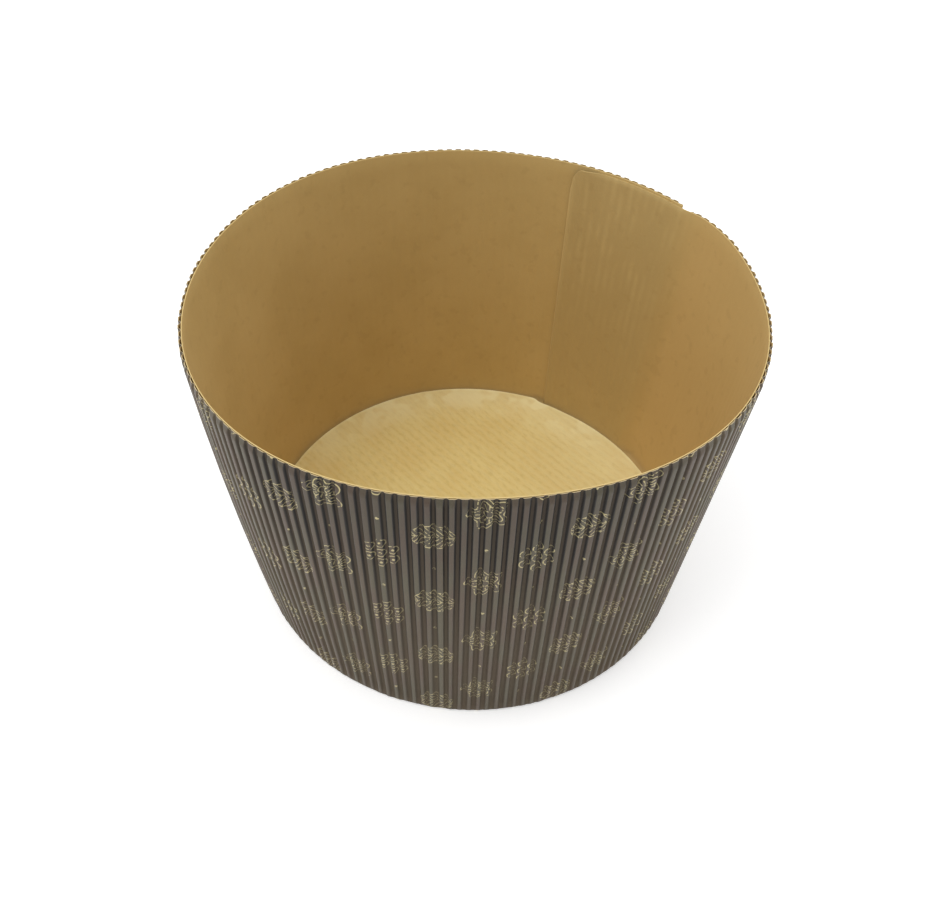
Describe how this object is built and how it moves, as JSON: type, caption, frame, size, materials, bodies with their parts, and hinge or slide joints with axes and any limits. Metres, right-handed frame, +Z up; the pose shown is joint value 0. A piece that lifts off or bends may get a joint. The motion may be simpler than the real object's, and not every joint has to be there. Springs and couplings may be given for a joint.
{
  "type": "panettone paper mold",
  "caption": "Round tapered baking mold of fluted brown paper over a smooth kraft liner, lapped at the side, with its foot folded under a base disc.",
  "frame": {"origin": "on the table, under the middle of the mold's overall width and depth", "axes": "+Z up through the open mouth, +Y towards the back as pictured, +X to the right"},
  "size_m": [0.1738, 0.1632, 0.1109],
  "materials": {
    "brown_paper": "dark brown fluted paper, softly glossy, with small gold line ornaments",
    "kraft_liner": "smooth tan kraft paper, matt",
    "base_kraft": "paler kraft paper, matt, with faint diagonal ribs",
    "base_brown": "plain dark brown fluted paper"
  },
  "bodies": {
    "root": {"wall_fluting": "brown_paper", "wall_liner": "kraft_liner", "base_fluting": "base_brown", "base_liner": "base_kraft"}
  },
  "joints": []
}
